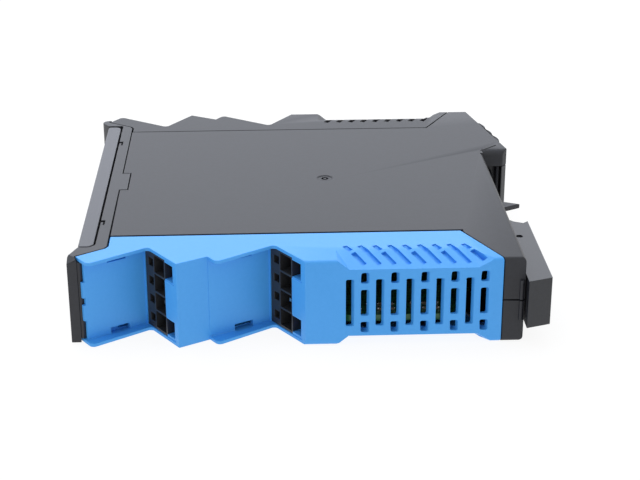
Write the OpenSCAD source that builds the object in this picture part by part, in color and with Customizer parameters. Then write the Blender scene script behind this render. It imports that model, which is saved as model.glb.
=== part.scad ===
// Signal isolator for a 35 mm top-hat rail, lying on one side with its plugs taken out.
// X runs from the front flap to the rail, Y along the housing's height, Z across the module's width.
// Sub-parts are drawn about the rail plane (X = 0) and the rail's centre line (Y = 0), then moved as
// one to the middle of the underside.

/* [Terminals] */
// Distance between the poles of a terminal plug
pole_pitch = 5; // [4.8:0.02:5.2]
// Number of poles in a terminal plug
pole_count = 4; // [3:1:5]
// Angle of the plug platforms to the depth direction
pocket_angle = 34.4; // [32:0.2:36]
// Distance between the front and the rear plug pocket
pocket_pitch = 30.9; // [30:0.1:33]
// Depth of a plug pocket below the end wall
pocket_depth = 10.6; // [10:0.1:11]
// Distance from the frame seam to the valley of the front pocket
pocket_setback = 9.95; // [9.5:0.05:11]
// Length of a platform's side flange from the valley
flange_len = 17; // [16:0.1:17.5]
// Height of the side flanges above the platform
flange_rise = 2.2; // [1.6:0.1:2.6]
// Fall of the front platform per unit of its length
front_fall = 0.05; // [0:0.01:0.08]
// Thickness of the front platform's edge
platform_lip = 0.8; // [0.7:0.05:1]
// Rounding of the flange's outer corner
flange_round = 1.4; // [0.6:0.1:2]
// Rounding in the valley of a flange
valley_round = 1.2; // [1:0.1:3]
// Length of a window in the platform
window_len = 5.1; // [4:0.1:6]
// Width of a window in the platform
window_w = 1.5; // [1:0.1:2]
// Depth of a window below the platform
window_deep = 1.7; // [1.5:0.1:1.9]
// Depth by which a window cuts into the side flange
window_bite = 0.25; // [0.1:0.05:0.4]
// Distance of a window from the valley
window_start = 4.9; // [4:0.1:6]
// Width of the two tabs on a platform's front edge
tab_w = 4.15; // [3.5:0.05:4.5]
// Distance of those tabs from the middle
tab_set = 3.05; // [2.8:0.05:3.5]
// Length of those tabs
tab_len = 0.7; // [0.5:0.05:0.9]
// Wall between a window and the hollow below the front platform
arm_wall = 0.6; // [0.5:0.1:1]

/* [Pin headers] */
// Depth of a header body behind the pocket wall
header_depth = 4.7; // [4.4:0.1:4.7]
// Height of a header body along the pocket wall
header_h = 13.2; // [13:0.1:13.2]
// Height of a header body above the platform
header_lift = 0.3; // [0.3:0.05:0.4]
// Distance of a header's face behind the pocket wall
header_set = 0.25; // [0.2:0.05:0.4]
// Plain strip of a header below its coding holes
header_strip = 1.4; // [1:0.1:1.6]
// Clearance of a header in its housing
header_fit = 0.05; // [0.02:0.01:0.1]
// Wall between the cells of a header
cell_wall = 0.5; // [0.45:0.05:0.7]
// Side of the small coding holes
coding_hole = 2.1; // [1.5:0.1:2.4]
// Length of the contact cells along the pocket wall
contact_cell = 4.6; // [4:0.1:4.8]
// Depth of the cells
cell_depth = 4; // [3.4:0.1:4]
// Width of a square contact pin
pin_w = 1; // [0.8:0.05:1.2]
// Distance of the pin tips behind the header face
pin_recess = 2.4; // [1:0.1:3]
// Distance from a header's back to the first solder tail
tail_start = 0.6; // [0.5:0.1:1]
// Step between the solder tails of neighbouring pins
tail_step = 1.5; // [1.3:0.1:1.6]

/* [Housing] */
// Height of the housing between the end walls
housing_h = 113.2; // [112:0.2:120]
// Depth from the rail plane to the frame seam
body_depth = 101.6; // [101:0.2:106]
// Width of the input side's terminal housing from the end wall to the panel
input_w = 17.85; // [17:0.05:18]
// Width of the output side's terminal housing from the end wall to the panel
output_w = 15.2; // [15.1:0.05:16]
// Thickness of the terminal housings' side plates
plate_t = 0.9; // [0.8:0.05:1.2]
// Room between the outer poles and the side plates
side_room = 0.35; // [0.3:0.05:0.5]
// Wall of the terminal housings
end_wall = 1.1; // [1:0.05:1.2]
// Wall of the half shells
shell_wall = 1.6; // [1.2:0.1:2]
// Gap between neighbouring mouldings
seam = 0.2; // [0.15:0.05:0.35]
// Width of the shadow line along the input side's terminal housing
line_w = 0.5; // [0.3:0.05:0.8]
// Depth of that shadow line
line_deep = 0.6; // [0.4:0.1:1]
// Gap between the half shells
split_gap = 0.2; // [0.1:0.05:0.3]
// Depth of the shells' end walls
end_foot = 5.13; // [4.5:0.1:6]
// Distance from the rail plane to the kink in the panel seam
kink_set = 13.6; // [12:0.1:15]
// Rounding of the end walls' long edges
edge_round = 1; // [0.6:0.1:1.2]
// Rounding of the panel's rear edge
rear_round = 1.3; // [0.8:0.1:1.5]
// Radius of the assembly posts
post_r = 1.4; // [1:0.1:1.8]
// Distance of the assembly posts from the rail's centre line
post_y = 30; // [26:0.5:33]

/* [End wall vents] */
// Number of slot columns in an end wall
vent_count = 10; // [6:2:10]
// Distance from the rear pocket's crest to the first column
vent_lead = 10.9; // [10:0.1:12]
// Distance from the rail plane to the last column
vent_rear = 9.75; // [9.5:0.05:11]
// Width of a slot
vent_w = 2; // [1.6:0.1:2.1]
// Length of the long slots
vent_long = 12.35; // [11:0.1:13]
// Length of the middle slots
vent_mid = 6.85; // [6:0.1:7.5]
// Length of the short slots
vent_short = 2.75; // [2:0.05:3]
// Distance of the short slots from the middle
vent_short_set = 6.55; // [6.2:0.05:6.8]
// Corner radius of the slots
vent_r = 0.4; // [0.2:0.05:0.5]
// Length of the scoop from its inner line to the end wall
scoop_len = 6.6; // [6:0.1:7]
// Depth of the scoop at the end wall
scoop_drop = 2.4; // [2:0.1:2.6]
// Slope of the scoop's front end
scoop_front_slope = 39; // [30:1:50]
// Distance of the scoop's rear end from the last column
scoop_rear = 3.8; // [3.4:0.1:4]
// Slope of the scoop's rear end
scoop_rear_slope = 40; // [36:1:46]
// Turn of the scoop's rear end to the height direction
scoop_rear_turn = 43.4; // [40:0.1:46]
// Lean of the slots and of the scoop's grooves towards the rail
groove_lean = 31; // [28:1:34]
// Width of a groove
groove_w = 1.3; // [1:0.05:1.4]
// Depth of a groove
groove_deep = 0.8; // [0.6:0.05:0.9]
// Depth of a groove's inner end
stub_deep = 1.15; // [1:0.05:1.2]

/* [Front frame and flap] */
// Depth of the frame band behind the flap
band_depth = 2.9; // [2.7:0.1:3.4]
// Length of the wings beyond the side flanges
wing_over = 2.3; // [2.2:0.05:3]
// Set-back of the wings' ends behind the flange corners
wing_drop = 3.2; // [3:0.05:3.4]
// Width of a wing's end face beside the side flange
wing_face = 2.4; // [2:0.1:2.6]
// Width of the frame under the front platform, below the platform's wall
frame_step = 2.4; // [2.2:0.1:2.8]
// Width of the rear tongue of the frame
tongue_w = 12.4; // [8:0.2:16]
// Depth of the rear tongue of the frame
tongue_depth = 2.2; // [1.5:0.1:3]
// Wall of the frame
frame_wall = 1.4; // [1.2:0.1:1.6]
// Slope of the cut across the input side's wing tip
tip_slope = 33; // [20:1:40]
// Length of that cut along the wing's edges
tip_run = 3; // [2:0.1:3.5]
// Rounding of the output side's wing tip
wing_round = 2; // [1:0.1:2.1]
// Distance from the flap's output end to the end wall
flap_margin = 10.15; // [10:0.05:11]
// Length by which the flap falls short at the input side
flap_trim = 1.9; // [0:0.1:2]
// Thickness of the flap from face to rear edge
flap_depth = 3.75; // [3.6:0.05:3.9]
// Gap between the flap and the frame
flap_gap = 0.5; // [0.4:0.05:0.7]
// Wall of the flap
flap_wall = 0.9; // [0.7:0.05:1]
// Gap of the flap inside the module's width
flap_inset = 0.1; // [0.05:0.05:0.2]
// Radius of the flap's hinge pins
hinge_r = 0.55; // [0.45:0.05:0.6]
// Running clearance of the hinge pins
hinge_fit = 0.06; // [0.04:0.01:0.09]

/* [Rail foot] */
// Width of the rail that the foot grips
rail_w = 35; // [35:0.1:35]
// Thickness of the rail's flange
rail_t = 1; // [1:0.1:1.3]
// Length by which the hooks overlap the rail's flange
hook_grip = 1.1; // [0.8:0.1:1.5]
// Width of the rail slide and of the fixed hook
slide_w = 12.5; // [11:0.1:13]
// Distance from the rail plane to the slide's outer face
slide_out = 6.4; // [6:0.1:7]
// Gap between the slide and the shells
slide_gap = 0.35; // [0.3:0.05:0.5]
// Length by which the slide stands out of the end wall
slide_pull = 3.25; // [2.5:0.05:5]
// Slant of the slide's end
slide_slant = 2.1; // [1:0.1:3]
// Travel of the slide
slide_travel = 4; // [3:0.1:5]
// Half width of the rail channel
channel_half = 20.2; // [20:0.1:21]
// Distance from the rail plane to the corner of the hook block
block_out = 7.45; // [7:0.05:8]
// Distance from the rail's centre line to the corner of the hook block
block_y = 21.7; // [21.2:0.1:23]
// Number of finger scallops on the hook block
scallop_count = 3; // [2:1:3]
// Distance between the scallops
scallop_pitch = 5.8; // [5:0.1:6]
// Height of the scallops
scallop_rise = 0.8; // [0.4:0.1:0.9]
// Rounding of the hook block beside the rail channel
nose_round = 1.8; // [1:0.1:2]
// Length of the fixed hook
hook_len = 11.6; // [10:0.1:12]
// Reach of the guide fins in the rail channel
fin_reach = 6.45; // [5:0.05:6.5]
// Thickness of the guide fins
fin_t = 1.3; // [1:0.1:1.6]
// Distance of the guide fins from the module's sides
fin_set = 5.1; // [4:0.1:6]

/* [Electronics] */
// Thickness of the circuit board
board_t = 1.6; // [1.5:0.1:1.7]
// Height of the board's underside above the resting side
board_z = 5.45; // [5:0.05:5.6]
// Clearance of the board to the housing walls
board_gap = 0.8; // [0.5:0.1:1.2]
// Radius of the tall capacitors
cap_r = 4; // [3:0.1:4.5]
// Height of the tall capacitors
cap_h = 11; // [8:0.5:12]
// Width of the transformer core
core_w = 18; // [16:0.5:20]
// Height of the transformer core
core_h = 12; // [11:0.5:12.5]
// Depth of the transformer core
core_d = 6; // [5:0.5:7]
// Width of the core's legs
core_leg = 4; // [3:0.25:4.5]
// Width of the service socket
socket_w = 14; // [10:0.5:16]
// Height of the service socket
socket_h = 6; // [5:0.5:8]
// Radius of the light guides
guide_r = 1; // [0.8:0.1:1.2]
// Distance between the light guides
guide_pitch = 5; // [4:0.5:6]
// Number of status lamps
lamp_count = 3; // [1:1:3]

/* [Hidden] */
$fn = 48;
eps = 0.05;
module_w = pole_count * pole_pitch + 2 * (plate_t + side_room);
mid = module_w / 2;
half_h = housing_h / 2;
// Edges of the panel towards the two terminal housings
input_y = half_h - input_w;
output_y = half_h - output_w;
// Plug pockets: valleys, header wall length and the rear platform's fall to the front pocket's crest
valley_y = half_h - pocket_depth;
valley_x = [-(body_depth - pocket_setback), -(body_depth - pocket_setback) + pocket_pitch];
wall_len = pocket_depth / cos(pocket_angle);
step_rise = pocket_pitch * sin(pocket_angle) - wall_len;
rear_fall = (step_rise - flange_rise) / (pocket_pitch * cos(pocket_angle));
platform_step = 0.1;
crest_x = valley_x[1] + wall_len * sin(pocket_angle);
vent_pitch = (-vent_rear - crest_x - vent_lead) / (vent_count - 1);
arm_start = window_start + window_len + arm_wall;
// Rows of a header, as distances from the valley along its wall
header_start = header_lift - flange_rise;
header_end = header_start + header_h;
coding_start = header_start + header_strip;
contact_start = coding_start + coding_hole + cell_wall;
side_start = contact_start + contact_cell + cell_wall;
contact_t = contact_start + contact_cell / 2;
header_face = -header_set;
header_back = header_face - header_depth;
// Line along which a terminal housing meets the frame, below the front platform
frame_line = flange_rise + end_wall + frame_step;
// Front frame and flap
frame_x = -(body_depth + seam);
band_x = frame_x - band_depth;
wing_x = valley_x[0] - flange_len - wing_over;
wing_y = valley_y + flange_len * sin(pocket_angle) - wing_drop;
flap_half = half_h - flap_margin;
flap_near = flap_half - flap_trim;
pocket_end = flap_half + flap_gap + 0.2;
flap_rear = band_x - flap_gap;
flap_front = flap_rear - flap_depth;
hinge_x = flap_rear - flap_depth / 2;
hinge_y = flap_half - flap_depth / 2;
lug_r = flap_depth / 2 - flap_wall - 0.2;
lug_gap = 0.3;
lug_z = flap_inset + flap_wall + lug_gap;
lug_t = 1.8;
arm_half = lug_r - 0.15;
// Rail foot
lip_x = rail_t + 0.3;
lip_y = rail_w / 2 - hook_grip;
slide_end = half_h + slide_pull;
web_half = 1.7;
nose_step = 1.3;
head_half = 3.8;
head_t = 1.6;
web_y0 = channel_half + 9;
web_y1 = half_h - 7;
hook_fit = 0.05;
hook_end = channel_half + hook_len;
tongue_y0 = channel_half + 4;
tongue_y1 = hook_end - 2;
// Board and what stands on it
board_top = board_z + board_t;
board_rear = -shell_wall - head_t - 2.2;
post_x = [-body_depth + 12, -kink_set - 7];
socket_gap = 0.3;
socket_front = band_x + frame_wall + socket_gap;
lamp_x = socket_front + 6;
lamp_z = board_top + 3;
guide_fit = 0.1;
core_yoke = 2.5;
core_x = -0.57 * body_depth;
core_window = (core_w - 3 * core_leg) / 2;
// Middle of the underside, where the finished part has its origin
origin = [(wing_x + block_out) / 2, (half_h - slide_end) / 2, 0];

// Point in a plug pocket: s along the platform towards the front, t along the header wall outwards
function pocket_point(i, s, t) = [
    valley_x[i] - s * cos(pocket_angle) + t * sin(pocket_angle),
    -valley_y - s * sin(pocket_angle) - t * cos(pocket_angle)
];

// Place of a platform's surface along the header wall, at a distance from the valley
function platform_t(i, s) = -flange_rise - (i == 0 ? front_fall : rear_fall) * s;

// Depth of the hook block's slanted face at a distance from the rail's centre line
function block_face(y) = block_out * (half_h - y) / (half_h - block_y);

// Place along the front platform of the corner where a line below it meets the frame seam
function turn_s(line, gap) = (pocket_setback - gap - line * sin(pocket_angle)) / cos(pocket_angle);

// The two points that blunt that corner
turn_cut = 0.8;
function turn_points(line, gap) = [
    pocket_point(0, turn_s(line, gap), -line) + [0, turn_cut],
    pocket_point(0, turn_s(line, gap) + turn_cut, -line)
];

function lamp_y(k) = 0.42 * input_y + k * guide_pitch;

module place() {
    translate(-origin) children();
}

module far_side() {
    mirror([0, 1, 0]) children();
}

module other_half() {
    translate([0, 0, module_w]) mirror([0, 0, 1]) children();
}

module both_halves() {
    children();
    other_half() children();
}

// Draws its children in a plug pocket's own directions
module in_pocket(i) {
    translate([valley_x[i], -valley_y, 0]) rotate([0, 0, 180 + pocket_angle]) children();
}

module box(low, high) {
    translate(low) cube(high - low);
}

module rounded_slot(w, h, r) {
    translate([-w / 2, r - h / 2]) square([w, h - 2 * r]);
    translate([r - w / 2, -h / 2]) square([w - 2 * r, h]);
    for (x = [-1, 1], y = [-1, 1]) translate([x * (w / 2 - r), y * (h / 2 - r)]) circle(r);
}

// Corner piece between a square corner and the arc that rounds it, which crosses the sides at a small angle
module corner_2d(r) {
    over = 0.03;
    difference() {
        translate([-eps, -eps]) square(r + eps);
        translate([r, r]) circle(r + over);
    }
}

// Half shells

// Rounds the outer edge of an end wall between two depths
module end_edge(r, x0, x1) {
    translate([x0, -half_h, 0]) rotate([90, 0, 90]) linear_extrude(x1 - x0) corner_2d(r);
}

module panel_2d() {
    polygon([
        [-body_depth, -input_y], [-kink_set, -input_y], [-end_foot, -half_h], [0, -half_h],
        [0, half_h], [-end_foot, half_h], [-kink_set, output_y], [-body_depth, output_y]
    ]);
}

module hook_block_2d() {
    polygon([
        [-shell_wall, half_h], [0, half_h], [block_out, block_y],
        [block_out - nose_step, channel_half], [-shell_wall, channel_half]
    ]);
}

// Shallow arcs side by side on the slanted face of the hook block
module scallops_2d() {
    margin = 6.4;
    chord = scallop_pitch + 0.5;
    r = (chord * chord / 4 + scallop_rise * scallop_rise) / (2 * scallop_rise);
    span = scallop_count * scallop_pitch;
    start = norm([block_out, half_h - block_y]) - margin - span;
    translate([0, half_h]) rotate(-atan2(half_h - block_y, block_out)) intersection() {
        translate([start, -2 * eps]) square([span, 2 * scallop_rise]);
        for (k = [0 : scallop_count - 1])
            translate([start + (k + 0.5) * scallop_pitch, scallop_rise - r]) circle(r);
    }
}

module shell_cavity_2d() {
    hook_room = 1;
    hollow_y = hook_end + shell_wall + hook_room;
    polygon([
        [-body_depth - 1, shell_wall - half_h], [-shell_wall, shell_wall - half_h],
        [-shell_wall, hollow_y], [block_face(hollow_y) - shell_wall, hollow_y],
        [-shell_wall, half_h - shell_wall], [-body_depth - 1, half_h - shell_wall]
    ]);
}

module guide_fin() {
    root = 6.4;
    tip = 2.5;
    foot = 6;
    translate([0, 0, fin_set]) linear_extrude(fin_t)
        polygon([[-eps, -root], [fin_reach, -root - tip], [-eps, -root - foot]]);
}

// Bead on the end wall beside the slide
module slide_bead() {
    bead_r = 0.6;
    bead_x = 0.75;
    bead_z = 5.9;
    translate([-bead_x, -half_h, bead_z]) cylinder(r = bead_r, h = mid - split_gap / 2 - bead_z);
}

module assembly_posts() {
    collar = 1.1;
    for (x = post_x, y = [-post_y, post_y]) translate([x, y, 0]) {
        cylinder(r = post_r + collar, h = board_z);
        cylinder(r = post_r, h = mid - split_gap / 2);
    }
}

// Shallow dish that a moulding gate leaves on the panel, with a ring-shaped hole round a pip
module gate_mark() {
    dish_r = 2.2;
    dish_deep = 0.15;
    ring_r = 1;
    pip_r = 0.4;
    ring_deep = 0.6;
    translate([-0.454 * body_depth, 0, -1]) {
        cylinder(r = dish_r, h = 1 + dish_deep);
        difference() {
            cylinder(r = ring_r, h = 1 + ring_deep);
            translate([0, 0, -1]) cylinder(r = pip_r, h = 3 + ring_deep);
        }
    }
}

// Line scored across the hook block's top beside the rail channel
module score_line() {
    score_w = 0.4;
    score_len = 6.8;
    score_turn = 42;
    translate([-2 * seam, channel_half - seam, 0]) rotate([0, 0, score_turn]) rotate([45, 0, 0])
        translate([0, -score_w / 2, -score_w / 2]) cube([score_len, score_w, score_w]);
}

module half_shell() {
    slot_over = 0.5;
    hook_gap = 0.1;
    difference() {
        union() {
            difference() {
                linear_extrude(mid - split_gap / 2) {
                    panel_2d();
                    hook_block_2d();
                    scallops_2d();
                }
                translate([0, 0, shell_wall]) linear_extrude(module_w) shell_cavity_2d();
            }
            assembly_posts();
            guide_fin();
            slide_bead();
        }
        for (side = [0, 1]) mirror([0, side, 0]) end_edge(edge_round, -end_foot - 2 * edge_round, 1);
        // Rounded rear edge beside the rail channel
        translate([0, -half_h - 1, 0]) rotate([-90, 0, 0]) mirror([1, 1, 0])
            linear_extrude(half_h + channel_half - 1) corner_2d(rear_round);
        // Rounded nose of the hook block
        translate([0, channel_half, 0]) rotate([90, 0, 90]) linear_extrude(block_out + 1)
            corner_2d(nose_round);
        gate_mark();
        score_line();
        box([-body_depth - 1, -input_y - 2, -1], [line_w - kink_set, line_w - input_y, line_deep]);
        // Notch for the front frame's tongue
        box([-body_depth - 1, -tongue_w / 2 - seam, -1],
            [-body_depth + tongue_depth, tongue_w / 2 + seam, shell_wall + 1]);
        // Seat of the fixed hook and the slot for its tongue
        box([0, channel_half - 1, mid - slide_w / 2 - hook_fit],
            [block_out + 1, hook_end + hook_gap, module_w]);
        box([-shell_wall - 1, tongue_y0 - hook_gap, mid - web_half - hook_gap],
            [1, tongue_y1 + hook_gap, module_w]);
        // Slot for the slide's web, as long as its travel asks
        box([-shell_wall - 1, -web_y1 - slide_travel - slot_over, mid - web_half - slide_gap],
            [1, -web_y0 + slot_over, module_w]);
    }
}

module lower_shell() {
    color("#56585d") place() half_shell();
}

module upper_shell() {
    color("#5c5e63") place() other_half() half_shell();
}

// Terminal housings

module end_outline_2d(panel_y) {
    edge = panel_y + seam;
    polygon(concat([[-body_depth + seam, -edge]], turn_points(frame_line, seam), [
        pocket_point(0, flange_len, -frame_line), pocket_point(0, flange_len, 0),
        pocket_point(0, 0, 0), pocket_point(0, 0, wall_len),
        pocket_point(1, flange_len, platform_t(1, flange_len) - platform_step),
        pocket_point(1, flange_len, 0),
        pocket_point(1, 0, 0), pocket_point(1, 0, wall_len),
        [-end_foot - seam, -half_h], [-kink_set - seam, -edge]
    ]));
}

module side_plate_2d(panel_y) {
    difference() {
        union() {
            end_outline_2d(panel_y);
            for (i = [0, 1]) in_pocket(i) corner_2d(valley_round);
        }
        for (i = [0, 1]) in_pocket(i) translate([flange_len, 0]) rotate(180) corner_2d(flange_round);
    }
}

module end_cavity_2d(panel_y) {
    floor_t = flange_rise + end_wall;
    reach = window_start + 2.1;
    open_y = panel_y - 1;
    tip_t = (pocket_depth - end_wall * (1 - sin(pocket_angle))) / cos(pocket_angle);
    polygon([
        [-body_depth + seam + end_wall, -open_y],
        pocket_point(0, reach + 0.2, platform_t(0, reach) - end_wall - 1),
        pocket_point(0, reach, platform_t(0, reach) - end_wall), pocket_point(0, -end_wall, -floor_t),
        pocket_point(0, -end_wall, wall_len - end_wall), pocket_point(1, -end_wall, -floor_t),
        pocket_point(1, -end_wall, tip_t), [1 - end_foot, end_wall - half_h], [1 - kink_set, -open_y]
    ]);
}

// Cuts one plug pocket: the platform between its flanges, the header opening and the windows
module pocket_cut(i) {
    window_end = window_start + window_len;
    in_pocket(i) {
        translate([0, 0, plate_t]) linear_extrude(module_w - 2 * plate_t) polygon([
            [0, -flange_rise], [flange_len + 1, platform_t(i, flange_len + 1)],
            [flange_len + 1, wall_len], [0, wall_len]
        ]);
        difference() {
            box([-2 * end_wall, header_start, plate_t], [eps, header_end, module_w - plate_t]);
            box([-3 * end_wall, side_start, mid - pole_pitch], [1, header_end + 1, mid + pole_pitch]);
        }
        both_halves() box([window_start, platform_t(i, window_end) - window_deep, plate_t - window_bite],
            [window_end, eps - flange_rise, plate_t + window_w]);
    }
}

// Sets the front platform's edge back beside its two tabs, and hollows its underside for the frame's wing
module front_edge_cut() {
    in_pocket(0) {
        difference() {
            box([flange_len - tab_len, -frame_line - 1, plate_t], [flange_len + 1, 1, module_w - plate_t]);
            for (side = [-1, 1]) translate([0, 0, mid + side * tab_set - tab_w / 2])
                box([0, -frame_line - 2, 0], [flange_len + 2, 2, tab_w]);
        }
        box([arm_start, -frame_line - 1, plate_t],
            [flange_len + 1, platform_t(0, flange_len) - platform_lip, module_w - plate_t]);
    }
}

module vent_2d(k) {
    slot_w = vent_w * cos(groove_lean);
    if (k % 2 == 1) {
        rounded_slot(slot_w, vent_long, vent_r);
    } else {
        rounded_slot(slot_w, vent_mid, vent_r);
        for (side = [-1, 1]) translate([0, side * vent_short_set]) rounded_slot(slot_w, vent_short, vent_r);
    }
}

module vent_slots() {
    for (k = [0 : vent_count - 1]) translate([-vent_rear - k * vent_pitch, -half_h, mid])
        rotate([90, 0, groove_lean]) translate([0, 0, -2 * end_wall]) linear_extrude(3 * end_wall) vent_2d(k);
}

// Scoop along the top edge of an end wall: everything above its slope and between its end ramps
module scoop_cut() {
    slope = atan(scoop_drop / scoop_len);
    lead = 3.2;
    x0 = -vent_rear - (vent_count - 1) * vent_pitch - lead;
    x1 = -vent_rear - scoop_rear;
    big = 60;
    translate([0, scoop_len - half_h, module_w]) intersection() {
        rotate([slope, 0, 0]) translate([-big, -big, 0]) cube([big * 2, big * 2, big]);
        translate([x0, 0, 0]) rotate([0, scoop_front_slope, 0])
            translate([-big, -big, 0]) cube(big * 2);
        translate([x1, 0, 0]) rotate([0, 0, scoop_rear_turn]) rotate([0, -scoop_rear_slope, 0])
            translate([-big, -big, 0]) cube(big * 2);
    }
}

module scoop_grooves() {
    slope = atan(scoop_drop / scoop_len);
    above = 2.2;
    shift = 1;
    stub_len = 2.8;
    bar_len = 1;
    tall = 5;
    run = (scoop_len + 0.95) / cos(groove_lean);
    translate([0, scoop_len - half_h, module_w]) rotate([slope, 0, 0])
        for (k = [1 : vent_count - 1]) translate([-vent_rear - k * vent_pitch - shift, above, 0])
            rotate([0, 0, groove_lean]) {
                start = k % 2 == 1 ? stub_len + bar_len : stub_len - eps;
                translate([-groove_w / 2 - eps, -stub_len, -stub_deep])
                    cube([groove_w + 2 * eps, stub_len, tall]);
                translate([-groove_w / 2, -run, -groove_deep]) cube([groove_w, run - start, tall]);
            }
}

// Thicker stretch of the side plate under a scoop
module scoop_backing() {
    lead = 4.3;
    trail = 1.7;
    back = scoop_drop + 1.6;
    run = scoop_len + 3.5;
    x0 = -vent_rear - (vent_count - 1) * vent_pitch - lead;
    translate([x0, 0, module_w - plate_t]) rotate([90, 0, 90]) linear_extrude(trail - vent_rear - x0)
        polygon([
            [end_wall - half_h - eps, eps], [end_wall - half_h - eps, plate_t - back],
            [run - half_h, eps]
        ]);
}

module terminal_housing(panel_y) {
    difference() {
        union() {
            difference() {
                linear_extrude(module_w) side_plate_2d(panel_y);
                translate([0, 0, plate_t]) linear_extrude(module_w - 2 * plate_t) end_cavity_2d(panel_y);
            }
            both_halves() scoop_backing();
        }
        for (i = [0, 1]) pocket_cut(i);
        front_edge_cut();
        vent_slots();
        both_halves() scoop_cut();
        both_halves() scoop_grooves();
        both_halves() end_edge(edge_round, crest_x - edge_round, edge_round - end_foot);
    }
}

module blue_terminal_housing() {
    color("#3f93e6") place() terminal_housing(input_y);
}

module grey_terminal_housing() {
    color("#4a4c50") place() far_side() terminal_housing(output_y);
}

// Pin headers and their contacts

function pole_z(k) = mid + (k - (pole_count - 1) / 2) * pole_pitch;

module pin_header() {
    cell_h = pole_pitch - cell_wall;
    cell_back = header_face - cell_depth;
    hole_back = header_face - cell_depth / 2;
    difference() {
        box([header_back, header_start + header_fit, plate_t + header_fit],
            [header_face, header_end - header_fit, module_w - plate_t - header_fit]);
        // Room for the housing's tab in front of the middle poles
        box([-end_wall - header_fit, side_start - header_fit, mid - pole_pitch - header_fit],
            [1, header_end + 1, mid + pole_pitch + header_fit]);
        for (k = [0 : pole_count - 1]) translate([0, 0, pole_z(k)]) {
            box([hole_back, coding_start, -coding_hole / 2],
                [1, coding_start + coding_hole, coding_hole / 2]);
            box([cell_back, contact_start, -cell_h / 2], [1, contact_start + contact_cell, cell_h / 2]);
            box([cell_back, side_start, -cell_h / 2], [1, header_end - cell_wall, cell_h / 2]);
            box([header_back - 1, contact_t - pin_w / 2 - eps, -pin_w / 2 - eps],
                [cell_back + 1, contact_t + pin_w / 2 + eps, pin_w / 2 + eps]);
        }
    }
}

// Square contact pins with tails that step back and down to the board's copper
module contact_pins() {
    for (k = [0 : pole_count - 1]) {
        tail = header_back - tail_start - k * tail_step;
        above = pole_z(k) > board_top;
        low = above ? board_top : pole_z(k) - pin_w / 2;
        high = above ? pole_z(k) + pin_w / 2 : board_z;
        box([tail - pin_w, contact_t - pin_w / 2, pole_z(k) - pin_w / 2],
            [header_face - pin_recess, contact_t + pin_w / 2, pole_z(k) + pin_w / 2]);
        box([tail - pin_w, contact_t - pin_w / 2, low], [tail, contact_t + pin_w / 2, high]);
    }
}

module input_header_front() {
    color("#26272a") place() in_pocket(0) pin_header();
}

module input_header_rear() {
    color("#26272a") place() in_pocket(1) pin_header();
}

module output_header_front() {
    color("#26272a") place() far_side() in_pocket(0) pin_header();
}

module output_header_rear() {
    color("#26272a") place() far_side() in_pocket(1) pin_header();
}

module input_pins_front() {
    color("#c9c6bd") place() in_pocket(0) contact_pins();
}

module input_pins_rear() {
    color("#c9c6bd") place() in_pocket(1) contact_pins();
}

module output_pins_front() {
    color("#c9c6bd") place() far_side() in_pocket(0) contact_pins();
}

module output_pins_rear() {
    color("#c9c6bd") place() far_side() in_pocket(1) contact_pins();
}

// Front frame

module frame_half_2d(end_y) {
    line = frame_line + seam;
    flat = 2.2;
    bevel = [0.5, 1];
    polygon(concat([[frame_x, eps]], turn_points(line, -seam), [
        pocket_point(0, flange_len + seam, -line), [wing_x + wing_face, -wing_y], [wing_x, -wing_y],
        [wing_x, flat - wing_y], [wing_x, flat - wing_y] + bevel, [flap_front, -end_y],
        [band_x, -end_y], [band_x, eps]
    ]));
}

module frame_hollow_2d() {
    inner = flap_half - 2;
    polygon([
        [band_x + frame_wall, -inner], [frame_x + 1, -inner], [frame_x + 1, inner],
        [band_x + frame_wall, inner]
    ]);
}

// Block behind a wing's tip that fills the hollow under the front platform
module wing_block() {
    fit = 0.15;
    bite = 0.4;
    line = frame_line + seam + bite;
    top = platform_lip - platform_t(0, flange_len) + fit;
    low = plate_t + fit;
    translate([0, 0, low]) linear_extrude(module_w - 2 * low) polygon([
        pocket_point(0, arm_start + fit, -line), pocket_point(0, arm_start + fit, -top),
        pocket_point(0, flange_len, -top), [wing_x + 1, 0.5 - wing_y],
        pocket_point(0, flange_len + seam, -line)
    ]);
}

// Lug with a pin for the flap, standing forward of the frame band
module hinge_lug() {
    translate([0, 0, lug_z]) linear_extrude(lug_t) {
        translate([hinge_x, hinge_y]) circle(lug_r);
        translate([hinge_x, hinge_y - arm_half]) square([band_x - hinge_x + eps, 2 * arm_half]);
    }
    translate([hinge_x, hinge_y, flap_inset + 0.4]) cylinder(r = hinge_r, h = lug_z);
}

module frame_lip() {
    lip_t = 1.2;
    y = input_y - 2;
    low = shell_wall + 0.15;
    difference() {
        box([band_x + frame_wall - eps, -y, low], [frame_x + seam + tongue_depth, y, module_w - low]);
        box([band_x, lip_t - y, low + lip_t],
            [frame_x + seam + tongue_depth + 1, y - lip_t, module_w - low - lip_t]);
    }
}

// Latch notches with a pip in the band's edge beside the flap
module band_notches() {
    deep = 0.7;
    latch_w = 3;
    latch_d = 1.1;
    groove = 0.4;
    pip_set = 0.12;
    for (y = [-0.76, 0.81]) translate([band_x, y * input_y, module_w - deep]) difference() {
        box([-1, -latch_w / 2, 0], [latch_d, latch_w / 2, 2]);
        box([-2, groove / 2 - latch_w / 2, -1], [latch_d - groove, latch_w / 2 - 2 * groove, deep - pip_set]);
    }
}

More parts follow.
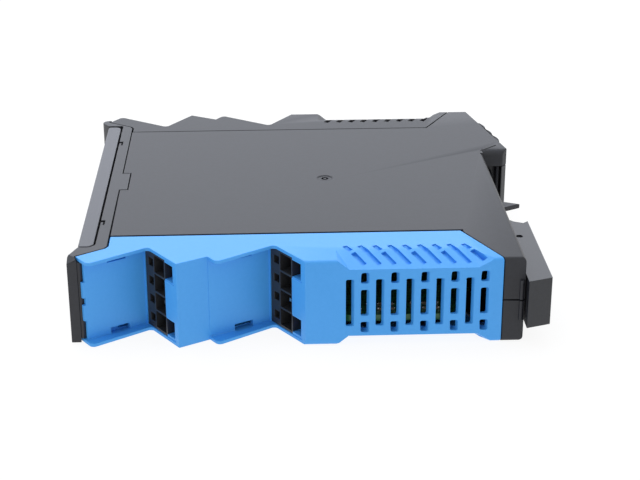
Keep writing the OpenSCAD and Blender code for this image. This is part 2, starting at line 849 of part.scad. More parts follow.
module front_frame() {
    root = 0.5;
    color("#5a5c61") place() {
        difference() {
            union() {
                difference() {
                    linear_extrude(module_w) {
                        frame_half_2d(pocket_end - flap_trim);
                        far_side() frame_half_2d(pocket_end);
                        translate([band_x, flap_trim - pocket_end]) mirror([1, 0, 0])
                            corner_2d(flap_depth / 2 + flap_gap);
                    }
                    translate([0, 0, frame_wall]) linear_extrude(module_w - 2 * frame_wall)
                        frame_hollow_2d();
                }
                wing_block();
                far_side() wing_block();
                both_halves() {
                    hinge_lug();
                    box([frame_x - root, -tongue_w / 2, 0],
                        [frame_x + tongue_depth, tongue_w / 2, frame_wall]);
                }
                frame_lip();
            }
            // Input side's wing tip, cut off aslant, and output side's, rounded
            translate([wing_x + tip_run, -wing_y, module_w]) rotate([0, 0, 135]) rotate([-tip_slope, 0, 0])
                translate([-10, 0, 0]) cube([20, 20, 10]);
            far_side() translate([wing_x, -wing_y, -1]) linear_extrude(module_w + 2) corner_2d(wing_round);
            band_notches();
            // Openings in the front plate
            box([band_x - 1, -socket_w / 2 - socket_gap, board_top - socket_gap],
                [band_x + frame_wall + 1, socket_w / 2 + socket_gap, board_top + socket_h + socket_gap]);
            for (k = [0 : lamp_count - 1]) translate([band_x - 1, lamp_y(k), lamp_z])
                rotate([0, 90, 0]) cylinder(r = guide_r + guide_fit, h = frame_wall + 2);
        }
    }
}

// Front flap

module flap_2d() {
    front_r = 1;
    rear_r = flap_depth / 2;
    difference() {
        translate([flap_front, -flap_near]) square([flap_depth, flap_near + flap_half]);
        for (side = [0, 1]) mirror([0, side, 0]) translate([0, side == 0 ? -flap_near : -flap_half]) {
            translate([flap_front, 0]) corner_2d(front_r);
            translate([flap_rear, 0]) mirror([1, 0, 0]) corner_2d(rear_r);
        }
    }
}

module front_flap() {
    inner_half = flap_half - flap_wall;
    color("#6c6e74") place() {
        difference() {
            translate([0, 0, flap_inset]) linear_extrude(module_w - 2 * flap_inset) flap_2d();
            box([flap_front + flap_wall, flap_wall - flap_near, flap_inset + flap_wall],
                [flap_rear + 1, inner_half, module_w - flap_inset - flap_wall]);
            both_halves() {
                translate([hinge_x, hinge_y, flap_inset + lug_gap])
                    cylinder(r = hinge_r + hinge_fit, h = flap_wall);
                // Way through the end wall for the hinge lug's arm
                box([flap_front + flap_wall, inner_half - eps, flap_inset + flap_wall],
                    [flap_rear + 1, flap_half + 1, lug_z + lug_t + lug_gap]);
            }
        }
    }
}

// Rail foot

module rail_slide() {
    nose = channel_half + 0.2;
    step = [1.3, 1.2];
    lead = 0.9;
    grip_t = 0.6;
    dimple_r = 0.9;
    dimple_deep = 0.4;
    color("#4d4f54") place() {
        difference() {
            translate([0, 0, mid - slide_w / 2]) linear_extrude(slide_w) polygon([
                [slide_gap, -slide_end], [slide_out, slide_slant - slide_end], [slide_out, -nose - lead],
                [slide_out - step[0], -nose - lead - step[1]], [2.8, -nose - 1], [2, -nose],
                [slide_gap, -nose]
            ]);
            translate([0.4 * slide_out, -nose - 11.2, mid + slide_w / 2 - dimple_deep])
                cylinder(r = dimple_r, h = 1);
        }
        translate([0, 0, mid - slide_w / 3]) linear_extrude(2 * slide_w / 3) polygon([
            [lip_x, -nose - 1], [lip_x, -lip_y], [lip_x + grip_t, -lip_y], [lip_x + 4 * grip_t, -nose - 1]
        ]);
        box([-shell_wall - slide_gap - eps, -web_y1, mid - web_half],
            [slide_gap + eps, -web_y0, mid + web_half]);
        box([-shell_wall - slide_gap - head_t, -web_y1, mid - head_half],
            [-shell_wall - slide_gap, -web_y0, mid + head_half]);
    }
}

module rail_hook() {
    slit_w = 0.8;
    slit_x = block_out - 2.3;
    strip_t = 0.7;
    grip_t = 0.8;
    lip_back = 2;
    color("#3c3d41") place() {
        translate([0, 0, mid - slide_w / 2]) linear_extrude(slide_w) {
            difference() {
                polygon([
                    [hook_fit, channel_half + 1.5], [hook_fit, hook_end], [block_face(hook_end), hook_end],
                    [block_out, block_y], [block_out - nose_step, channel_half],
                    [block_out - nose_step - 0.3, channel_half]
                ]);
                translate([slit_x, channel_half - 1]) square([slit_w, 5]);
                translate([-1, channel_half - 1]) square([slit_x + 1 - strip_t, 4.4]);
            }
        }
        translate([0, 0, mid - slide_w / 3]) linear_extrude(2 * slide_w / 3) polygon([
            [lip_x, lip_y], [lip_x + grip_t, lip_y], [lip_x + lip_back, channel_half],
            [lip_x + lip_back, tongue_y0], [lip_x, tongue_y0]
        ]);
        box([-shell_wall - 1.4, tongue_y0, mid - web_half], [hook_fit + eps, tongue_y1, mid + web_half]);
    }
}

// Electronics

module board_2d() {
    back = header_back - board_gap / 2;
    low = header_start - board_gap / 2;
    front = -body_depth + tongue_depth + 0.9;
    edge = input_y - 1;
    tail_t = contact_t + 4;
    side = end_wall + board_gap - half_h;
    near = [
        [front, -edge], pocket_point(0, back, low), pocket_point(0, back, tail_t),
        pocket_point(0, back - 6, tail_t), pocket_point(0, back - 10, 0.5),
        [pocket_point(1, back, low)[0] - 12, -edge], pocket_point(1, back, low),
        pocket_point(1, back, tail_t + 1.5), [crest_x + vent_lead, side],
        [-kink_set - 4, side], [-kink_set, -input_y - 2], [board_rear, 6 - input_y]
    ];
    far = [for (k = [len(near) - 1 : -1 : 0]) [near[k][0], -near[k][1]]];
    polygon(concat(near, far));
}

module main_board() {
    hole_fit = 0.2;
    color("#2d7a45") place() translate([0, 0, board_z]) difference() {
        linear_extrude(board_t) board_2d();
        for (x = post_x, y = [-post_y, post_y]) translate([x, y, -1])
            cylinder(r = post_r + hole_fit, h = board_t + 2);
    }
}

module transformer_core() {
    color("#3a3a3c") place() translate([core_x, 0, board_top]) difference() {
        box([-core_d / 2, -core_w / 2, 0], [core_d / 2, core_w / 2, core_h]);
        for (side = [-1, 1]) translate([0, side * (core_leg + core_window) / 2, core_h / 2])
            cube([core_d + 2, core_window, core_h - 2 * core_yoke], center = true);
    }
}

module transformer_winding() {
    gap = 0.2;
    leg_fit = 0.1;
    coil = core_window - 0.3;
    coil_h = core_h - 2 * core_yoke - 2 * gap;
    x = core_d / 2 + coil;
    foot_h = core_yoke + 0.3;
    color("#c8a23a") place() translate([core_x, 0, board_top]) {
        translate([0, 0, core_yoke + gap]) difference() {
            box([-x, -core_leg / 2 - coil, 0], [x, core_leg / 2 + coil, coil_h]);
            box([-core_d / 2 - leg_fit, -core_leg / 2 - leg_fit, -1],
                [core_d / 2 + leg_fit, core_leg / 2 + leg_fit, coil_h + 1]);
        }
        for (side = [-1, 1]) translate([side * (core_d / 2 + coil / 2 + gap), 0, foot_h / 2])
            cube([coil - 4 * gap, core_leg + 2 * coil - 2 * gap, foot_h], center = true);
    }
}

module optocouplers() {
    size = [6.4, 9, 3.2];
    lift = 0.6;
    leg = [1.4, 0.6, 1.6];
    leg_pitch = 2.2;
    color("#1f2023") place()
        for (y = [-0.56, 0.36, 0.67]) translate([-0.65 * body_depth, y * input_y, board_top]) {
            translate([-size[0] / 2, -size[1] / 2, lift]) cube(size);
            for (side = [-1, 1], k = [-1.5 : 1.5])
                translate([side * (size[0] + leg[0]) / 2 - leg[0] / 2, k * leg_pitch - leg[1] / 2, 0])
                    translate([-side * eps, 0, 0]) cube(leg);
        }
}

module tall_capacitors() {
    rim = 0.5;
    color("#2b2f3c") place()
        for (p = [[0.295, -0.26], [0.295, 0.05], [0.413, 0.67]])
            translate([-p[0] * body_depth, p[1] * input_y, board_top]) {
                cylinder(r = cap_r, h = cap_h - rim);
                cylinder(r = cap_r - rim, h = cap_h);
            }
}

module filter_choke() {
    drum_h = 8;
    drum_r = 4.5;
    neck_r = 3.4;
    rim = 1.5;
    color("#46474a") place() translate([-0.305 * body_depth, 0.44 * input_y, board_top]) {
        cylinder(r = drum_r, h = rim);
        cylinder(r = neck_r, h = drum_h);
        translate([0, 0, drum_h - rim]) cylinder(r = drum_r, h = rim);
    }
}

module controller_chip() {
    side_len = 10;
    lift = 0.2;
    chip_h = 1.4;
    leg = [1.2, 0.4, 0.5];
    leg_pitch = 0.8;
    color("#232427") place() translate([-0.81 * body_depth, -0.31 * input_y, board_top]) {
        translate([-side_len / 2, -side_len / 2, lift]) cube([side_len, side_len, chip_h]);
        for (turn = [0 : 90 : 270]) rotate(turn) for (k = [-5 : 5])
            translate([side_len / 2 - lift, k * leg_pitch - leg[1] / 2, 0]) cube(leg);
    }
}

module service_socket() {
    depth = 10;
    back = 2.5;
    wall = 1.2;
    rim = 1.4;
    color("#202124") place() translate([socket_front, 0, board_top]) difference() {
        box([-wall, -socket_w / 2, 0], [depth, socket_w / 2, socket_h]);
        box([-2 * wall, wall - socket_w / 2, rim], [depth - back, socket_w / 2 - wall, socket_h - rim]);
    }
}

module status_lamps() {
    lamp = [3, 2.8];
    color("#e8e6da") place()
        for (k = [0 : lamp_count - 1]) translate([lamp_x, lamp_y(k), board_top])
            box([0, -lamp[1] / 2, 0], [lamp[0], lamp[1] / 2, lamp_z - board_top + guide_r]);
}

module light_guides() {
    stand = 0.6;
    color("#d8e6ee") place()
        for (k = [0 : lamp_count - 1]) translate([band_x - stand, lamp_y(k), lamp_z])
            rotate([0, 90, 0]) cylinder(r = guide_r, h = lamp_x - band_x + stand);
}

upper_shell();
lower_shell();
blue_terminal_housing();
grey_terminal_housing();
front_frame();
front_flap();
rail_slide();
rail_hook();
input_header_front();
input_header_rear();
output_header_front();
output_header_rear();
input_pins_front();
input_pins_rear();
output_pins_front();
output_pins_rear();
main_board();
transformer_core();
transformer_winding();
optocouplers();
tall_capacitors();
filter_choke();
controller_chip();
service_socket();
status_lamps();
light_guides();
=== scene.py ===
"""Looks of a slim rail-mounted signal isolator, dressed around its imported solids.

The classes hold their sizes in millimetres; a mesh is turned to metres as it is made. X runs from
the front flap to the rail, Y from the blue input side to the grey output side, and Z across the
width.
"""

import logging
import math
from dataclasses import dataclass, field
from enum import Enum

import bmesh
import bpy
import numpy as np
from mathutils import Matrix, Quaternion, Vector


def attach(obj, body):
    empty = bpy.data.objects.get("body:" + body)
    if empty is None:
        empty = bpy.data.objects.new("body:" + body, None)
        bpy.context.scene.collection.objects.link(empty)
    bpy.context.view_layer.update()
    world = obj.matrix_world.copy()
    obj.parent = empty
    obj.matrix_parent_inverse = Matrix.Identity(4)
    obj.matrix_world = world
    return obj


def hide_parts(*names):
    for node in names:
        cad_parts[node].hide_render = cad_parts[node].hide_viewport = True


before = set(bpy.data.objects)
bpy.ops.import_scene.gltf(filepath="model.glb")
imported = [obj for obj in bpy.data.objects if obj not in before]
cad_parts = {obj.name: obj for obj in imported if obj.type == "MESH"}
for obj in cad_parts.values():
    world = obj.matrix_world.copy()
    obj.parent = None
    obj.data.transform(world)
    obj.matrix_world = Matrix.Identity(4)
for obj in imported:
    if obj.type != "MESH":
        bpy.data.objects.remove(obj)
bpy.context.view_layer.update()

LOG = logging.getLogger("isolator")
MM = 0.001
# Middle of the housing along Y, in millimetres; the middle of the whole part's box is at 0
MIDDLE_Y = 1.625
# Sides of the part with the sign of their Y, and the rows of pockets on each
SIDES = {"input": -1, "output": 1}
ROWS = ("front", "rear")
# Metres: corners nearer than the first are joined, and edges shorter than the second are dropped
MERGE_M = 2e-6
SLIVER_M = 4e-6
# Places along an edge, as shares of its length, from which the room beside it is measured
EDGE_PLACES = np.linspace(0.02, 0.98, 7)
# Share of a distance that has to lie inward for it to count, and the slack on that in metres
INWARD_SHARE = 0.7
INWARD_SLACK_M = 1e-7
WHITE = (1.0, 1.0, 1.0, 1.0)
# Sockets of a Mix node by number, because those for numbers and for colours share their names
MIX_FACTOR, MIX_NUMBER_A, MIX_NUMBER_B, MIX_COLOUR_A, MIX_COLOUR_B = 0, 2, 3, 6, 7
MIX_NUMBER_OUT, MIX_COLOUR_OUT = 0, 2


class Body(Enum):
    """Bodies of the part that a piece can ride on."""

    HOUSING = "housing"
    FLAP = "flap"
    SLIDE = "slide"


class Slot(Enum):
    """Material slots of the part's record, listed for the pieces here."""

    GREY = "grey_housing"
    BLUE = "blue_housing"
    FRAME = "grey_frame"
    FLAP = "grey_flap"
    FOOT = "foot_plastic"
    HEADER = "header_plastic"
    CONTACT = "tinned_contact"
    CHIP = "chip_moulding"


def linear(hex_colour: str) -> tuple[float, float, float, float]:
    """Turns an sRGB hex colour to linear light.

    Args:
        hex_colour: Six hex digits after a hash.

    Returns:
        Red, green, blue and an alpha of 1.
    """
    srgb = np.array([int(hex_colour[i:i + 2], 16) for i in (1, 3, 5)]) / 255
    low = srgb / 12.92
    high = ((srgb + 0.055) / 1.055) ** 2.4
    return (*(float(c) for c in np.where(srgb <= 0.04045, low, high)), 1.0)


def add_node(tree: bpy.types.NodeTree, kind: str, settings: dict, links: dict) -> bpy.types.Node:
    """Adds a shader node with its settings and links.

    Args:
        tree: Node tree that takes the node.
        kind: Blender's name for the node.
        settings: Values by name; a name in lower case is a property, any other an input.
        links: Output sockets by the name of the input that they feed.

    Returns:
        The new node.
    """
    node = tree.nodes.new(kind)
    for name, value in settings.items():
        if isinstance(name, str) and name[0].islower():
            setattr(node, name, value)
        else:
            node.inputs[name].default_value = value
    for name, socket in links.items():
        tree.links.new(socket, node.inputs[name])
    return node


def new_tree(name: str) -> tuple[bpy.types.Material, bpy.types.NodeTree, bpy.types.Node]:
    """Starts a material that holds only its output node.

    Args:
        name: Name of the material.

    Returns:
        The material, its node tree and the output node.
    """
    material = bpy.data.materials.new(name)
    material.use_nodes = True
    tree = material.node_tree
    tree.nodes.clear()
    return material, tree, tree.nodes.new("ShaderNodeOutputMaterial")


@dataclass(frozen=True)
class MouldedPlastic:
    """Thermoplastic from a spark-eroded tool: a fine matt grain that breaks up the sheen.

    The colour drifts a little in flecks, as the pits in the tool hold more or less light. The
    grain of such a tool is finer than a pixel, so it is drawn several times as coarse to show.
    """

    name: str
    colour: str
    fleck: str
    roughness: float
    grain_mm: float
    depth_mm: float
    ior: float = 1.53
    fleck_grains: float = 2.2

    def build(self) -> bpy.types.Material:
        """Makes the material from two noises: one as wide as the grain, one as wide as the flecks.

        Returns:
            The material.
        """
        material, tree, output = new_tree(self.name)
        place = add_node(tree, "ShaderNodeTexCoord", {}, {})
        grain = add_node(
            tree, "ShaderNodeTexNoise",
            {"Scale": 1 / (self.grain_mm * MM), "Detail": 2.0, "Roughness": 0.6},
            {"Vector": place.outputs["Object"]})
        flecks = add_node(
            tree, "ShaderNodeTexNoise",
            {"Scale": 1 / (self.fleck_grains * self.grain_mm * MM), "Detail": 3.0,
             "Roughness": 0.7},
            {"Vector": place.outputs["Object"]})
        spread = add_node(
            tree, "ShaderNodeMapRange",
            {"From Min": 0.35, "From Max": 0.75, "To Min": 0.0, "To Max": 1.0},
            {"Value": flecks.outputs["Fac"]})
        tint = add_node(
            tree, "ShaderNodeMix",
            {"data_type": "RGBA", MIX_COLOUR_A: linear(self.colour),
             MIX_COLOUR_B: linear(self.fleck)},
            {MIX_FACTOR: spread.outputs["Result"]})
        relief = add_node(
            tree, "ShaderNodeBump",
            {"Strength": 0.6, "Distance": self.depth_mm * MM},
            {"Height": grain.outputs["Fac"]})
        shader = add_node(
            tree, "ShaderNodeBsdfPrincipled",
            {"Roughness": self.roughness, "IOR": self.ior},
            {"Base Color": tint.outputs[MIX_COLOUR_OUT], "Normal": relief.outputs["Normal"]})
        tree.links.new(shader.outputs["BSDF"], output.inputs["Surface"])
        return material


@dataclass(frozen=True)
class SmoothFinish:
    """A smooth surface of one colour: resin, film, fired ceramic or plated metal."""

    name: str
    colour: str
    roughness: float
    metallic: float = 0.0
    ior: float = 1.5
    transmission: float = 0.0
    coat: float = 0.0

    def build(self) -> bpy.types.Material:
        """Makes the material with every value on the shader's own sockets.

        Returns:
            The material.
        """
        material, tree, output = new_tree(self.name)
        values = {
            "Base Color": linear(self.colour), "Roughness": self.roughness,
            "Metallic": self.metallic, "Transmission Weight": self.transmission,
            "Coat Weight": self.coat}
        if not self.metallic:
            values["IOR"] = self.ior
        shader = add_node(tree, "ShaderNodeBsdfPrincipled", values, {})
        tree.links.new(shader.outputs["BSDF"], output.inputs["Surface"])
        return material


@dataclass(frozen=True)
class SolderMask:
    """Green lacquer over glass laminate and copper: gloss, with paler tracks just under it."""

    name: str
    colour: str
    track: str
    roughness: float
    track_mm: float
    cell_tracks: float = 8.0

    def build(self) -> bpy.types.Material:
        """Makes the material from brick cells whose joints stand for the copper tracks.

        Returns:
            The material.
        """
        material, tree, output = new_tree(self.name)
        place = add_node(tree, "ShaderNodeTexCoord", {}, {})
        tracks = add_node(
            tree, "ShaderNodeTexBrick",
            {"Scale": 1 / (self.cell_tracks * self.track_mm * MM), "Mortar Size": 0.06,
             "Mortar Smooth": 0.1, "Color1": linear(self.colour),
             "Color2": linear(self.colour), "Mortar": linear(self.track)},
            {"Vector": place.outputs["Object"]})
        shader = add_node(
            tree, "ShaderNodeBsdfPrincipled", {"Roughness": self.roughness, "IOR": 1.55},
            {"Base Color": tracks.outputs["Color"]})
        tree.links.new(shader.outputs["BSDF"], output.inputs["Surface"])
        return material


Finish = MouldedPlastic | SmoothFinish | SolderMask
Materials = dict[str, bpy.types.Material]

# Glass-filled polyamide, spark-eroded: near-black, with a sheen that is mid grey from a low angle
GREY = MouldedPlastic("grey polyamide, spark-eroded", "#1a1c22", "#20222a", 0.46, 0.5, 0.02, 1.48)
# The same polyamide in signal blue: a clear, even blue with a pale sheen on what faces up
BLUE = MouldedPlastic("blue polyamide, spark-eroded", "#45a1ef", "#49a5f2", 0.46, 0.4, 0.01, 1.48)
# Frame from a finer tool: slightly lighter and with less grain than the shells
FRAME_GREY = MouldedPlastic(
    "grey polycarbonate, fine-eroded", "#1f2127", "#25272e", 0.44, 0.4, 0.012, 1.49)
# Flap from a satin tool: the smoothest and palest of the greys
FLAP_GREY = MouldedPlastic(
    "grey polycarbonate, satin", "#45474e", "#494b52", 0.38, 0.4, 0.005, 1.5)
# Foot of tough, slightly waxy acetal: a tighter sheen than the shells have
FOOT_GREY = MouldedPlastic("grey acetal, moulded", "#202227", "#26282e", 0.34, 0.4, 0.01, 1.5)
# Header of high-temperature polyamide: an even black with a satin face
HEADER_BLACK = MouldedPlastic("black polyamide, moulded", "#26272a", "#2b2c2f", 0.45, 0.4, 0.006)
# Bright tin plating over brass: a pale, slightly blurred mirror
TIN = SmoothFinish("bright tin plating", "#d8d6d0", 0.22, metallic=1.0)
# Lacquer over copper and laminate: deep green and glossy, paler along the tracks
MASK = SolderMask("green solder mask on glass laminate", "#1d4d2c", "#2f6b3c", 0.3, 0.8)
# Fired and ground ferrite: charcoal, as dull as stone
FERRITE = SmoothFinish("ground ferrite", "#2e2e30", 0.6)
# Tape wound over the coil: warm yellow with the gloss of film
TAPE = SmoothFinish("yellow polyester tape", "#c39a31", 0.3)
# Epoxy pressed in a matt tool: near-black and dull
EPOXY = SmoothFinish("black epoxy moulding", "#1b1b1e", 0.55)
# Sleeve shrunk over a can: dark blue-grey under a clear gloss
SLEEVE = SmoothFinish("shrunk polyester sleeve", "#202533", 0.25, coat=0.4)
# Resin cast round an unlit lamp: cloudy, off-white, fairly glossy
RESIN = SmoothFinish("milky cast resin", "#d9d6c8", 0.3)
# Fired ceramic of chip capacitors: tan and matt
CERAMIC = SmoothFinish("fired ceramic", "#8a7a63", 0.55)
# Polycarbonate from a polished tool: what lies behind it shows, bent at its edges
CLEAR = SmoothFinish("clear moulded polycarbonate", "#eef4f6", 0.05, ior=1.58, transmission=0.9)


def make_object(name: str, mesh: bpy.types.Mesh, material: bpy.types.Material) -> bpy.types.Object:
    """Links a mesh into the scene as an object at the origin.

    Args:
        name: Name of the piece.
        mesh: Its mesh, with its place in its vertices.
        material: Its only material.

    Returns:
        The new object.
    """
    mesh.materials.clear()
    mesh.materials.append(material)
    piece = bpy.data.objects.new(name, mesh)
    bpy.context.scene.collection.objects.link(piece)
    return piece


def grid_mesh(name: str, points: np.ndarray, ring: bool) -> bpy.types.Mesh:
    """Makes a mesh from grids of points, one closed shell per grid.

    Columns close on themselves. Rows do so too where they form a ring; otherwise the first and the
    last row are each closed by a flat face.

    Args:
        name: Name of the mesh.
        points: Shells by rows by columns by three, in millimetres.
        ring: Whether the rows form a ring.

    Returns:
        The mesh, in metres, smooth all over.
    """
    index = np.arange(points[..., 0].size).reshape(points.shape[:3])
    beside = np.roll(index, -1, axis=2)
    last = None if ring else -1
    low, low_next = index[:, :last], beside[:, :last]
    high, high_next = (np.roll(grid, -1, axis=1)[:, :last] for grid in (index, beside))
    faces = np.stack([low, low_next, high_next, high], axis=-1).reshape(-1, 4).tolist()
    if not ring:
        faces += index[:, 0, ::-1].tolist() + index[:, -1].tolist()
    mesh = bpy.data.meshes.new(name)
    mesh.from_pydata((points.reshape(-1, 3) * MM).tolist(), [], faces)
    mesh.polygons.foreach_set("use_smooth", np.ones(len(mesh.polygons), dtype=bool))
    return mesh


def add_piece(
        mesh: bpy.types.Mesh, material: bpy.types.Material, body: Body,
) -> bpy.types.Object:
    """Puts a new mesh on a body of the part and logs it.

    Args:
        mesh: Mesh of the piece, whose name the piece takes.
        material: Its finish.
        body: Body that it rides on.

    Returns:
        The new piece.
    """
    piece = make_object(mesh.name, mesh, material)
    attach(piece, body.value)
    LOG.info("%s: %d polygons", piece.name, len(mesh.polygons))
    return piece


def clear_beside(corner: bmesh.types.BMLoop, outline: np.ndarray, room: float) -> bool:
    """Tells whether a face is clear for some way in from one of its edges.

    The nearest point of every edge of the face is found for places along the edge. It counts if it
    lies more inward than along the edge, which the edge itself and its neighbours round a curve
    don't.

    Args:
        corner: Corner of the face at which the edge starts.
        outline: The face's corners in order, as rows of three in metres.
        room: Distance that must be clear, in metres.

    Returns:
        Whether no other edge of the face comes that near.
    """
    start, end = np.array(corner.vert.co), np.array(corner.link_loop_next.vert.co)
    inward = np.cross(np.array(corner.face.normal), end - start)
    inward /= np.linalg.norm(inward)
    places = start + EDGE_PLACES[:, None, None] * (end - start)
    span = np.roll(outline, -1, axis=0) - outline
    share = np.sum((places - outline) * span, axis=-1) / np.sum(span * span, axis=-1)
    apart = outline + np.clip(share, 0, 1)[..., None] * span - places
    distance = np.linalg.norm(apart, axis=-1)
    faces_in = apart @ inward > INWARD_SHARE * distance + INWARD_SLACK_M
    return not np.any((distance < room) & faces_in)


@dataclass
class Moulding:
    """One solid of the part with its sharp edges rounded as a mould rounds them.

    strip_share and room_share are the width of face that an edge needs beside it, in radii: the
    first by the face's area, the second measured inward.
    """

    node: str
    body: Body
    slot: Slot
    finish: Finish
    edge_mm: float
    sharp_deg: float = 32.0
    flat_deg: float = 0.5
    strip_share: float = 3.0
    room_share: float = 2.3
    segments: int = 2

    def build(self) -> bpy.types.Mesh:
        """Copies the solid's triangles, joins those in one plane and marks the edges to round.

        An edge is rounded by the bevel if it is sharp and both faces beside it are wide enough for
        the radius: taken as strips of the edge's length, and measured inward from the edge.

        Returns:
            A closed mesh of flat polygons with a bevel weight on each edge.
        """
        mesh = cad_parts[self.node].data.copy()
        mesh.name = self.node + "_moulded"
        work = bmesh.new()
        work.from_mesh(mesh)
        bmesh.ops.remove_doubles(work, verts=work.verts, dist=MERGE_M)
        bmesh.ops.dissolve_degenerate(work, dist=SLIVER_M, edges=work.edges)
        bmesh.ops.dissolve_limit(
            work, angle_limit=math.radians(self.flat_deg), verts=work.verts, edges=work.edges)
        weights = work.edges.layers.float.new("bevel_weight_edge")
        strip = self.strip_share * self.edge_mm * MM
        sharp = math.radians(self.sharp_deg)
        room = self.room_share * self.edge_mm * MM
        outlines = {
            face: np.array([corner.vert.co for corner in face.loops]) for face in work.faces}
        for edge in work.edges:
            wide = all(face.calc_area() > strip * edge.calc_length() for face in edge.link_faces)
            keen = edge.calc_face_angle(0.0) > sharp
            if wide and keen:
                wide = all(
                    clear_beside(corner, outlines[corner.face], room)
                    for corner in edge.link_loops)
            edge[weights] = float(wide and keen)
            edge.smooth = wide or not keen
        work.to_mesh(mesh)
        work.free()
        mesh.polygons.foreach_set("use_smooth", np.ones(len(mesh.polygons), dtype=bool))
        for layer in [a.name for a in mesh.attributes if a.name in ("custom_normal", "UVMap")]:
            mesh.attributes.remove(mesh.attributes[layer])
        return mesh

    def dress(self, material: bpy.types.Material) -> bpy.types.Object:
        """Makes the piece, rounds its edges and puts it on its body.

        Args:
            material: Finish of the piece.

        Returns:
            The dressed piece.
        """
        piece = make_object(self.node + "_moulded", self.build(), material)
        bevel = piece.modifiers.new("rounded edges", "BEVEL")
        bevel.width = self.edge_mm * MM
        bevel.segments = self.segments
        bevel.limit_method = "WEIGHT"
        bevel.use_clamp_overlap = False
        bevel.harden_normals = True
        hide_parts(self.node)
        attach(piece, self.body.value)
        return piece


@dataclass
class Enclosure:
    """Shells, terminal housings, frame, flap and rail foot: what shows from outside."""

    shell_edge: float = 0.22
    terminal_edge: float = 0.16
    terminal_strip: float = 5.5
    fine_edge: float = 0.12
    header_edge: float = 0.05
    mouldings: list[Moulding] = field(default_factory=list)

    def build(self) -> None:
        """Lists the outer mouldings with their finishes and edge radii."""
        house = Body.HOUSING
        self.mouldings = [
            Moulding("upper_shell", house, Slot.GREY, GREY, self.shell_edge),
            Moulding("lower_shell", house, Slot.GREY, GREY, self.shell_edge),
            Moulding("blue_terminal_housing", house, Slot.BLUE, BLUE, self.terminal_edge,
                     strip_share=self.terminal_strip),
            Moulding("grey_terminal_housing", house, Slot.GREY, GREY, self.terminal_edge,
                     strip_share=self.terminal_strip),
            Moulding("front_frame", house, Slot.FRAME, FRAME_GREY, self.terminal_edge),
            Moulding("front_flap", Body.FLAP, Slot.FLAP, FLAP_GREY, self.shell_edge),
            Moulding("rail_slide", Body.SLIDE, Slot.FOOT, FOOT_GREY, self.shell_edge),
            Moulding("rail_hook", house, Slot.FOOT, FOOT_GREY, self.fine_edge),
            *(Moulding(f"{side}_header_{row}", house, Slot.HEADER, HEADER_BLACK, self.header_edge)
              for side in SIDES for row in ROWS),
        ]

    def dress(self, materials: Materials) -> None:
        """Makes and logs every moulding.

        Args:
            materials: Materials by finish name.
        """
        self.build()
        for moulding in self.mouldings:
            piece = moulding.dress(materials[moulding.finish.name])
            LOG.info("%s: %d polygons before rounding", piece.name, len(piece.data.polygons))


@dataclass
class Electronics:
    """Board, contacts and parts inside, which keep their solids' own shapes."""

    finishes: dict[str, Finish] = field(default_factory=dict)

    def build(self) -> None:
        """Sets the finish of each inner solid."""
        self.finishes = {
            "main_board": MASK, "transformer_core": FERRITE, "transformer_winding": TAPE,
            "optocouplers": EPOXY, "tall_capacitors": SLEEVE, "filter_choke": FERRITE,
            "controller_chip": EPOXY, "service_socket": HEADER_BLACK, "status_lamps": RESIN,
            "light_guides": CLEAR}
        for side in SIDES:
            for row in ROWS:
                self.finishes[f"{side}_pins_{row}"] = TIN

    def dress(self, materials: Materials) -> None:
        """Gives each inner solid its material.

        Args:
            materials: Materials by finish name.
        """
        self.build()
        for node, finish in self.finishes.items():
            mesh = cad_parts[node].data
            mesh.materials.clear()
            mesh.materials.append(materials[finish.name])
            LOG.info("%s: %s", node, finish.name)


@dataclass
class GateLips:
    """Fine rolled lips that run round the gate marks on both panels."""

    middle: tuple[float, float] = (5.624, MIDDLE_Y)
    levels: tuple[float, float] = (22.34, 0.16)
    ring_r: float = 2.05
    lip_r: float = 0.16
    steps_round_mark: int = 64
    steps_round_lip: int = 12

    def build(self) -> bpy.types.Mesh:
        """Carries a small circle round a larger one.

        With a as the angle round the mark and b as the angle round the lip, the distance from the
        mark's middle is ring_r plus lip_r times cos b, and the height is lip_r times minus sin b.

        Returns:
            One ring per panel.
        """
        a, b = np.meshgrid(
            np.linspace(0, math.tau, self.steps_round_mark, endpoint=False),
            np.linspace(0, math.tau, self.steps_round_lip, endpoint=False), indexing="ij")
        reach = self.ring_r + self.lip_r * np.cos(b)
        ring = np.stack([reach * np.cos(a), reach * np.sin(a), -self.lip_r * np.sin(b)], axis=-1)
        places = np.array([[*self.middle, level] for level in self.levels])
        return grid_mesh("gate_lips", ring + places[:, None, None], ring=True)

    def dress(self, materials: Materials) -> None:
        """Puts the lips on the housing in the shells' own plastic.

        Args:
            materials: Materials by finish name.
        """
        add_piece(self.build(), materials[GREY.name], Body.HOUSING)


